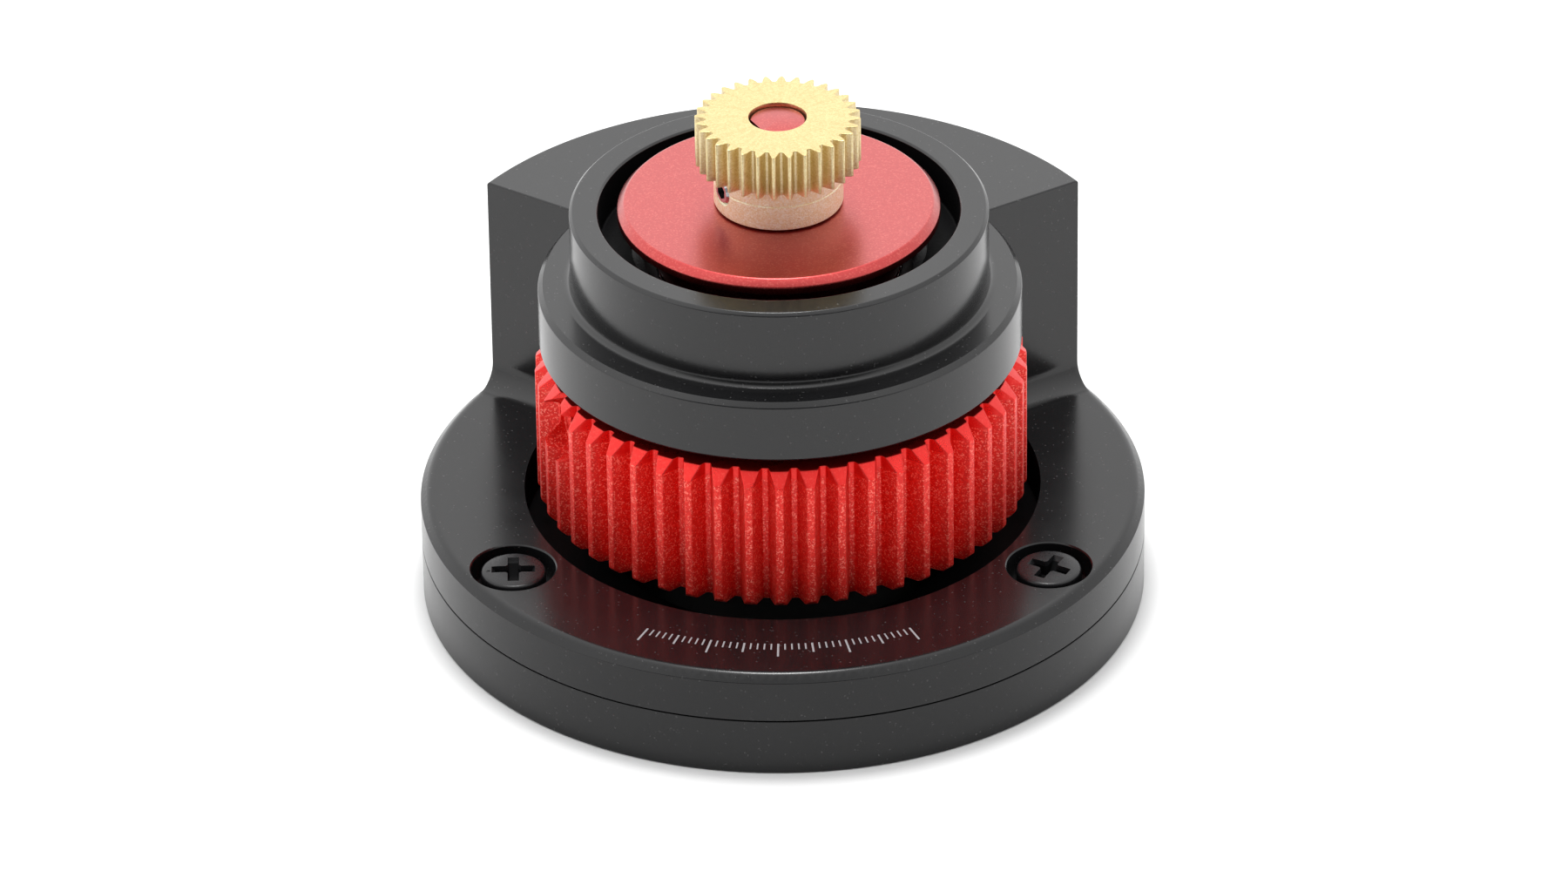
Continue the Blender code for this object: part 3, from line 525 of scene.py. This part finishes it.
def make_housing():
    fillet = 0.9
    outline = soften([
        (WELL_R, SEAM_TOP, 0.12),
        (FLANGE_R, SEAM_TOP, 0.12),
        (FLANGE_R, FLANGE_TOP - 0.9, 0.05),
        (WALL_R, FLANGE_TOP, 0.0),
        (WALL_R, SHOULDER_TOP, 0.3),
        (COLLAR_R, SHOULDER_TOP, fillet),
        (COLLAR_R, COLLAR_TOP - 0.35, 0.08),
        (COLLAR_R - 0.35, COLLAR_TOP, 0.08),
        (COLLAR_BORE_R + 0.2, COLLAR_TOP, 0.06),
        (COLLAR_BORE_R, COLLAR_TOP - 0.2, 0.06),
        (COLLAR_BORE_R, BORE_FLOOR, 0.3),
        (BEARING_BORE_R, BORE_FLOOR, 0.1),
        (BEARING_BORE_R, GROOVE_TOP, 0.0),
        (BEARING_BORE_R + 1.0, GROOVE_TOP, 0.0),
        (BEARING_BORE_R + 1.0, GROOVE_BOTTOM, 0.0),
        (BEARING_BORE_R, GROOVE_BOTTOM, 0.0),
        (BEARING_BORE_R, LIP_TOP, 0.0),
        (LIP_R, LIP_TOP, 0.0),
        (LIP_R, COVER_UNDER, 0.1),
        (WELL_R, COVER_UNDER, 0.2),
    ], parts=4)
    housing = turned("housing_body", outline)
    tools = [front_tool()]
    for k, azimuth in enumerate(SCREW_AZ):
        spot = polar(SCREW_CIRCLE_R, azimuth)
        tools.append(round_tool(
            f"counterbore_{k}",
            [(0.0, COUNTERBORE_FLOOR), (COUNTERBORE_R, COUNTERBORE_FLOOR),
             (COUNTERBORE_R, FLANGE_TOP - 0.18), (4.65, FLANGE_TOP - 0.10),
             (4.80, FLANGE_TOP + 0.02), (4.80, FLANGE_TOP + 1.0), (0.0, FLANGE_TOP + 1.0)],
            spot, UP, 72))
        tools.append(round_tool(
            f"screw_way_{k}", [(0.0, 5.0), (SCREW_WAY_R, 5.0), (SCREW_WAY_R, 10.5), (0.0, 10.5)],
            spot, UP, 32))
    carve(housing, tools)
    smooth(housing)
    piece(housing, BLACK, "frame", "black_anodise", "housing")
    # Painted shade: the flange wears the less reflecting copy of the black anodise
    retouch(housing, FLANGE_BLACK_PAINTED_SHADE, WELL_R, FLANGE_R + 0.1, 0.0, FLANGE_TOP + 0.05)
    # Painted shade in the collar's and the bearing's bores
    retouch(housing, PAINTED_SHADE_BLACK, 0.0, COLLAR_BORE_R + 0.01, COVER_UNDER - 0.5, COLLAR_TOP - 0.25)
    # Painted shade on the well's wall and the cover's underside
    retouch(housing, PAINTED_SHADE_BLACK, SHOULDER_R - 12.0, WELL_R + 0.01, 0.0, COVER_UNDER + 0.1)


def make_base():
    outline = soften([
        (BASE_BORE_R, 0.0, 0.4),
        (FLANGE_R, 0.0, 0.35),
        (FLANGE_R, BASE_TOP, 0.12),
        (WELL_R + 0.2, BASE_TOP, 0.0),
        (BASE_BORE_R, BASE_TOP, 0.35),
    ])
    base = turned("base_plate", outline)
    tools = []
    for k, azimuth in enumerate((30.0, 150.0, 270.0)):
        spot = polar(30.0, azimuth)
        tools.append(round_tool(
            f"fixing_{k}", [(0.0, -1.0), (2.7, -1.0), (2.7, -0.02), (2.2, 0.4), (2.2, 3.3),
                            (4.2, 3.3), (4.2, 7.6), (0.0, 7.6)], spot, UP))
    for k, azimuth in enumerate(SCREW_AZ):
        tools.append(round_tool(
            f"tapped_{k}", [(0.0, 1.4), (SCREW_WAY_R, 1.4), (SCREW_WAY_R, 7.6), (0.0, 7.6)],
            polar(SCREW_CIRCLE_R, azimuth), UP, 32))
    tools.append(round_tool(
        "rear_way", [(0.0, -1.0), (4.95, -1.0), (4.95, -0.02), (4.65, 0.2),
                     (4.65, REAR_COUNTERBORE_TOP), (SCREW_WAY_R, REAR_COUNTERBORE_TOP),
                     (SCREW_WAY_R, 7.6), (0.0, 7.6)],
        polar(SCREW_CIRCLE_R, REAR_SCREW_AZ), UP))
    carve(base, tools)
    smooth(base)
    # Painted shade: the base ring wears the less reflecting copy of the black anodise
    piece(base, FLANGE_BLACK_PAINTED_SHADE, "frame", "black_anodise", "base_ring")
    # Painted shade on the base's bore and on its top inside the well
    retouch(base, PAINTED_SHADE_BLACK, 0.0, WELL_R, 0.5, BASE_TOP + 0.1)


def make_scale():
    """Plain graduation marks engraved and filled round the front of the flange."""
    bm = bmesh.new()
    low, high = FLANGE_TOP - 0.01, FLANGE_TOP + 0.025
    inner = 33.4
    for k in range(41):
        azimuth = 270.0 + (k - 20) * 1.25
        length = 2.5 if k % 10 == 0 else (1.8 if k % 5 == 0 else 1.15)
        half = 0.11 if k % 5 == 0 else 0.085
        radial = polar(1.0, azimuth)
        across = polar(half, azimuth + 90.0)
        flat = [radial * inner - across, radial * (inner + length) - across,
                radial * (inner + length) + across, radial * inner + across]
        bottom = [bm.verts.new(p + Vector((0.0, 0.0, low))) for p in flat]
        top = [bm.verts.new(p + Vector((0.0, 0.0, high))) for p in flat]
        bm.faces.new(bottom)
        bm.faces.new(top)
        for j in range(4):
            bm.faces.new((bottom[j - 1], bottom[j], top[j], top[j - 1]))
    scale = as_object(bm, "scale_marks")
    piece(scale, MARK, "frame", "black_anodise")


# ---------------------------------------------------------------- screws

def cross_tool(name, arm, width, depth):
    """Tapered cross recess cutting down from Z = 0."""
    def cross(a, w, z):
        n = w * 0.35
        quarter = [(a, -w), (a, w), (w + n, w), (w, w + n)]
        points = []
        for turn in range(4):
            spin = Matrix.Rotation(math.radians(90.0 * turn), 3, "Z")
            points += [spin @ Vector((x, y, z)) for x, y in quarter]
        return points
    half = width / 2.0
    return loft(name, [cross(arm * 0.45, half * 0.75, -depth), cross(arm * 0.86, half * 0.9, -depth * 0.35),
                       cross(arm, half, 0.0), cross(arm * 1.02, half * 1.12, 0.5)])


def make_screw(name, node, location, direction, length, roll, mark=False):
    """Pan-head screw seated at location; mark adds the small dot on its head."""
    head_r, head_h = SCREW_HEAD_R, SCREW_HEAD_H
    outline = soften([
        (0.0, -length, 0.0), (SCREW_R, -length, 0.25), (SCREW_R, 0.0, 0.0), (head_r, 0.0, 0.1),
        (head_r, head_h - 0.12, 0.40), (head_r * 0.55, head_h, 0.5), (0.0, head_h, 0.0),
    ], parts=4)
    screw = turned(name, outline, 64)
    tools = [aim(cross_tool(name + "_recess", 2.4, 1.25, 1.6), (0.0, 0.0, head_h))]
    if mark:
        dot = turned(name + "_dot", [(0.0, head_h - 0.12), (0.2, head_h - 0.12), (0.26, head_h + 0.1),
                                     (0.0, head_h + 0.1)], 20)
        tools.append(aim(dot, (2.72, 0.30, 0.0)))
    carve(screw, tools)
    # Painted shade: the faces inside the cross recess are listed here and get the darker, barely reflecting
    # black below.
    inside = [face.index for face in screw.data.polygons
              if math.hypot(face.center.x, face.center.y) < 2.35 * MM
              and 0.1 * MM < face.center.z < (head_h - 0.25) * MM]
    aim(screw, location, direction, roll)
    bpy.context.view_layer.update()
    smooth(screw)
    piece(screw, BLACK_STEEL, "frame", "black_steel", node)
    screw.data.materials.append(PAINTED_SHADE_BLACK)
    for index in inside:
        screw.data.polygons[index].material_index = 1


def make_screws():
    for k, azimuth in enumerate(SCREW_AZ):
        make_screw(f"cross_screw_{k + 1}", f"flange_screw_{k + 1}",
                   polar(SCREW_CIRCLE_R, azimuth, SCREW_SEAT), UP, SCREW_SEAT - SCREW_END,
                   SCREW_ROLL[k], mark=(k == 0))
    make_screw("cross_screw_rear", "rear_screw", polar(SCREW_CIRCLE_R, REAR_SCREW_AZ, REAR_SEAT),
               DOWN, REAR_LENGTH, 0.0)


# ---------------------------------------------------------------- toothed pieces

def toothed(name, teeth, phase, side, levels, inner, hoop_parts=2):
    """Toothed ring about Z.

    side(level) gives half a tooth, from the middle of the gap to the middle of the tip, as
    (radius, degrees before the tooth's middle). levels run upwards, each with its z first.
    inner lists the inside's (radius, z) from the lower face's edge to the upper face's.
    """
    pitch = 360.0 / teeth
    bm = bmesh.new()
    rings = []
    for level in levels:
        half = side(level)
        shape = half + [(r, -a) for r, a in reversed(half[:-1])][:-1]
        ring = []
        for tooth in range(teeth):
            middle = phase + tooth * pitch
            ring.append([bm.verts.new(polar(r, middle - a, level[0])) for r, a in shape])
        rings.append(ring)
    for lower, upper in zip(rings, rings[1:]):
        low = [v for tooth in lower for v in tooth]
        high = [v for tooth in upper for v in tooth]
        for k in range(len(low)):
            bm.faces.new((low[k - 1], low[k], high[k], high[k - 1]))
    hoops = []
    for radius, z in inner:
        hoops.append([bm.verts.new(polar(radius, phase + (k / hoop_parts - 0.5) * pitch, z))
                      for k in range(teeth * hoop_parts)])
    for lower, upper in zip(hoops, hoops[1:]):
        for k in range(teeth * hoop_parts):
            bm.faces.new((lower[k - 1], lower[k], upper[k], upper[k - 1]))
    for outline, hoop in ((rings[0], hoops[0]), (rings[-1], hoops[-1])):
        for tooth in range(teeth):
            following = (tooth + 1) % teeth
            arc = [hoop[(tooth * hoop_parts + j) % len(hoop)] for j in range(hoop_parts, -1, -1)]
            bm.faces.new((*outline[tooth], outline[following][0], *arc))
    return as_object(bm, name)


def knob_side(level):
    """Half a knob tooth at a level of (z, tip radius, how far its edges are broken)."""
    _, tip_r, inset = level
    root_half, tip_half = 2.84, 0.87

    def half_at(radius):
        share = (radius - KNOB_ROOT_R) / (KNOB_TIP_R - KNOB_ROOT_R)
        return root_half + (tip_half - root_half) * share - math.degrees(inset / radius)

    tip = tip_r - inset
    root = KNOB_ROOT_R - inset
    corners = [(root, 3.6, 0.0), (root, half_at(root), 0.16), (tip, half_at(tip), 0.13), (tip, 0.0, 0.0)]
    flat = [(r * math.sin(math.radians(a)), r * math.cos(math.radians(a)), back) for r, a, back in corners]
    points = soften(flat, closed=False, parts=3)
    return [(math.hypot(x, y), math.degrees(math.atan2(x, y))) for x, y in points]


def make_knob():
    levels = [
        (KNOB_BOTTOM, 26.3, 0.10),
        (KNOB_BOTTOM + 0.10, 26.4, 0.0),
        (KNOB_BOTTOM + 0.62, 26.92, 0.0),
        (KNOB_BOTTOM + 0.72, 26.98, 0.0),
        (KNOB_BOTTOM + 0.85, KNOB_TIP_R, 0.0),
        (KNOB_TOP - 1.62, KNOB_TIP_R, 0.0),
        (KNOB_TOP - 1.50, 26.97, 0.0),
        (KNOB_TOP - 1.40, 26.9, 0.0),
        (KNOB_TOP - 0.10, 25.6, 0.0),
        (KNOB_TOP - 0.03, 25.54, 0.03),
        (KNOB_TOP, 25.5, 0.10),
    ]
    inner = [(22.5, KNOB_BOTTOM), (22.5, 21.8), (17.0, 21.8), (17.0, 10.2), (16.8, 10.0),
             (12.5, 10.0), (12.5, 32.1), (13.3, 32.1), (13.3, KNOB_TOP)]
    knob = toothed("knob_body", KNOB_TEETH, KNOB_PHASE, knob_side, levels, inner)
    tools = []
    for k, azimuth in enumerate(KNOB_GRUB_AZ):
        tools.append(round_tool(
            f"access_{k}", [(0.0, 10.0), (2.15, 10.0), (2.15, 23.95), (2.4, 24.2), (3.3, 24.2),
                            (3.4, 24.3), (3.4, 26.7), (3.5, 29.0), (0.0, 29.0)],
            (0.0, 0.0, KNOB_GRUB_Z), polar(1.0, azimuth), 72))
    nick = turned("nick", [(0.0, -0.45), (0.38, 0.0), (0.0, 0.45)], 12)
    tools.append(aim(nick, polar(27.05, NICK_AZ, NICK_Z), polar(1.0, NICK_AZ + 25.0, 0.3), 0.0))
    carve(knob, tools)
    smooth(knob)
    piece(knob, RED_KNOB, "rotor", "red_anodise", "focus_knob")


def pinion_side(level):
    """Half a pinion tooth at a level of (z, tip radius, how far its edges are broken)."""
    _, tip_r, inset = level
    corners = [(7.8 - inset, 5.625, 0.0), (7.8 - inset, 4.2, 0.22), (8.4, 2.75, 0.05),
               (tip_r - 0.12, 1.35, 0.18), (tip_r, 0.35, 0.1), (tip_r, 0.0, 0.0)]
    flat = []
    for r, a, back in corners:
        a = max(a - math.degrees(inset / r) * (0.0 < a < 5.0), 0.0)
        flat.append((r * math.sin(math.radians(a)), r * math.cos(math.radians(a)), back))
    points = soften(flat, closed=False, parts=2)
    return [(math.hypot(x, y), math.degrees(math.atan2(x, y))) for x, y in points]


def make_pinion():
    levels = [
        (TEETH_BOTTOM, 8.92, 0.07),
        (TEETH_BOTTOM + 0.08, PINION_TIP_R, 0.0),
        (PINION_TOP - 0.10, PINION_TIP_R, 0.0),
        (PINION_TOP - 0.03, 8.97, 0.03),
        (PINION_TOP, 8.91, 0.09),
    ]
    line = HUB_BOTTOM + 2.95
    inner = [
        (PINION_HUB_R + 0.12, TEETH_BOTTOM), (PINION_HUB_R, TEETH_BOTTOM - 0.12),
        (PINION_HUB_R, line + 0.09), (PINION_HUB_R - 0.09, line), (PINION_HUB_R, line - 0.09),
        (PINION_HUB_R, HUB_BOTTOM + 0.25), (PINION_HUB_R - 0.08, HUB_BOTTOM + 0.08),
        (PINION_HUB_R - 0.25, HUB_BOTTOM), (PINION_BORE_R, HUB_BOTTOM),
        (PINION_BORE_R, PINION_TOP - 0.10), (PINION_BORE_R + 0.03, PINION_TOP - 0.03),
        (PINION_BORE_R + 0.10, PINION_TOP),
    ]
    pinion = toothed("pinion_gear", PINION_TEETH, PINION_PHASE, pinion_side, levels, inner, 3)
    thread = [(0.0, 1.5)]
    turns = 11
    for k in range(turns):
        start = 2.2 + k * 0.5
        thread += [(1.42, start), (1.62, start + 0.22), (1.62, start + 0.28)]
    thread += [(1.42, 7.6), (1.68, 7.9), (1.68, 10.2), (0.0, 10.2)]
    hole = round_tool("pinion_hole", thread, (0.0, 0.0, PINION_GRUB_Z), polar(1.0, GRUB_AZ), 40)
    carve(pinion, [hole])
    smooth(pinion, 38.0)
    piece(pinion, BRASS, "rotor", "brass", "pinion")


def make_rotor():
    stem = 12.35
    outline = soften([
        (0.0, 24.3, 0.0), (6.65, 24.3, 0.0), (6.65, 12.0, 0.15), (stem, 12.0, 0.15),
        (stem, 41.1, 0.0), (13.3, 41.1, 0.0), (13.3, DISC_UNDER, 0.3), (DISC_R, DISC_UNDER, 0.15),
        (DISC_R, DISC_TOP - 0.75, 0.12), (DISC_R - 0.75, DISC_TOP, 0.14),
        (SHAFT_R, DISC_TOP, 0.2), (SHAFT_R, SHAFT_TOP, 0.2), (0.0, SHAFT_TOP, 0.0),
    ])
    rotor = turned("rotor_body", outline, 200)
    outward = polar(1.0, GRUB_AZ)
    across = polar(1.0, GRUB_AZ + 90.0)
    low, high = DISC_TOP + 0.6, SHAFT_TOP + 1.0
    rows = []
    for depth in (SHAFT_FLAT, SHAFT_R + 1.0):
        rows.append([outward * depth + across * side + Vector((0.0, 0.0, z))
                     for side, z in ((-4.0, low), (4.0, low), (4.0, high), (-4.0, high))])
    way = round_tool("pin_way", [(0.0, -1.0), (1.15, -1.0), (1.15, 14.0), (0.0, 14.0)],
                     (0.0, 0.0, 18.0), (-1.0, 0.0, 0.0), 24)
    carve(rotor, [loft("flat_tool", rows), way])
    smooth(rotor)
    piece(rotor, RED_DISC, "rotor", "red_anodise", "drive_rotor")


# ---------------------------------------------------------------- carried-over CAD pieces

def dress_nodes():
    """Detailed materials for the CAD pieces that are shown as they are."""
    looks = {
        "shaft_coupler": BRASS, "coupler_pin": STEEL, "retaining_ring": BLACK_STEEL,
        "outer_spacer": BLACK, "inner_spacer": BLACK, "pinion_grub_screw": STEEL,
        "knob_grub_screw_1": BLACK_STEEL, "knob_grub_screw_2": BLACK_STEEL,
    }
    for prefix in ("lower", "upper"):
        looks[prefix + "_cage"] = CAGE
        for part in ("outer_race", "inner_race"):
            looks[f"{prefix}_{part}"] = STEEL
        for part in ("lower_seal", "upper_seal"):
            looks[f"{prefix}_{part}"] = RUBBER
        for k in range(1, 11):
            looks[f"{prefix}_ball_{k}"] = STEEL
    for name, material in looks.items():
        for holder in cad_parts[name].material_slots:
            holder.material = material


# ---------------------------------------------------------------- studio

def make_floor():
    bm = bmesh.new()
    bmesh.ops.create_grid(bm, x_segments=2, y_segments=2, size=3000.0)
    floor = as_object(bm, "floor")
    n = Nodes("floor_white_painted_shadow")
    split = n.add("ShaderNodeSeparateXYZ")
    n.link(n.place, split.inputs[0])
    # Painted shadow: under the object, within 34 mm of the axis, the floor is near black.
    square = n.math("ADD", n.math("POWER", split.outputs[0], 2.0), n.math("POWER", split.outputs[1], 2.0))
    under = n.span(n.math("SQRT", square), 0.034, 0.038)
    colour = n.mix(under, grey(0.02), grey(0.77))
    floor.data.materials.append(n.finish(Base_Color=colour, Roughness=0.9))


def area_light(name, location, target, size, power):
    data = bpy.data.lights.new(name, "AREA")
    data.shape = "RECTANGLE"
    data.size, data.size_y = size
    data.energy = power
    light = bpy.data.objects.new(name, data)
    light.location = location
    light.rotation_euler = (Vector(target) - Vector(location)).to_track_quat("-Z", "Y").to_euler()
    bpy.context.scene.collection.objects.link(light)


def make_studio():
    """Bright overhead and backdrop, a dimmer right side and a dark side behind the camera."""
    world = bpy.data.worlds.new("studio")
    world.use_nodes = True
    tree = world.node_tree
    where = tree.nodes.new("ShaderNodeTexCoord")
    split = tree.nodes.new("ShaderNodeSeparateXYZ")
    tree.links.new(where.outputs["Generated"], split.inputs[0])

    def span(source, low, high, to_low, to_high):
        node = tree.nodes.new("ShaderNodeMapRange")
        node.interpolation_type = "SMOOTHSTEP"
        tree.links.new(source, node.inputs[0])
        for socket, number in zip(node.inputs[1:5], (low, high, to_low, to_high)):
            socket.default_value = number
        return node.outputs[0]

    def times(a, b):
        node = tree.nodes.new("ShaderNodeMath")
        node.operation = "MULTIPLY"
        tree.links.new(a, node.inputs[0])
        tree.links.new(b, node.inputs[1])
        return node.outputs[0]

    height = span(split.outputs[2], 0.50, 0.98, 1.70, 1.9)
    camera_side = span(split.outputs[1], -0.86, -0.30, 0.07, 1.0)
    right_side = span(split.outputs[0], 0.0, 0.95, 1.0, 0.80)
    strength = times(times(height, camera_side), right_side)
    tree.links.new(strength, tree.nodes["Background"].inputs[1])
    tree.nodes["Background"].inputs[0].default_value = (1.0, 1.0, 1.0, 1.0)
    bpy.context.scene.world = world
    area_light("overhead", (-0.01, 0.06, 0.70), (0.0, 0.0, 0.02), (0.14, 0.12), 2.3)
    bpy.context.scene.view_settings.view_transform = "Standard"


def make_camera():
    """Camera above the open front, a little to the side of the object's own middle."""
    turn = Matrix.Rotation(math.radians(VIEW_TURN), 3, "Z")
    pitch, yaw, roll = (math.radians(v) for v in CAMERA_TILT)
    ahead = Vector((math.sin(yaw) * math.cos(pitch), math.cos(yaw) * math.cos(pitch), -math.sin(pitch)))
    right = Vector((math.cos(yaw), -math.sin(yaw), 0.0))
    above = right.cross(ahead)
    right, above = (right * math.cos(roll) + above * math.sin(roll),
                    above * math.cos(roll) - right * math.sin(roll))
    axes = turn @ Matrix((right, above, -ahead)).transposed()
    data = bpy.data.cameras.new("camera")
    data.sensor_width = 36.0
    data.lens = LENS
    data.clip_start, data.clip_end = 0.05, 20.0
    camera = bpy.data.objects.new("camera", data)
    spot = turn @ Vector((0.0, -CAMERA_BACK, CAMERA_UP)) * MM
    camera.matrix_world = Matrix.Translation(spot) @ axes.to_4x4()
    bpy.context.scene.collection.objects.link(camera)
    bpy.context.scene.camera = camera


make_camera()
make_floor()
make_studio()
make_housing()
make_base()
make_scale()
make_screws()
make_knob()
make_pinion()
make_rotor()
dress_nodes()
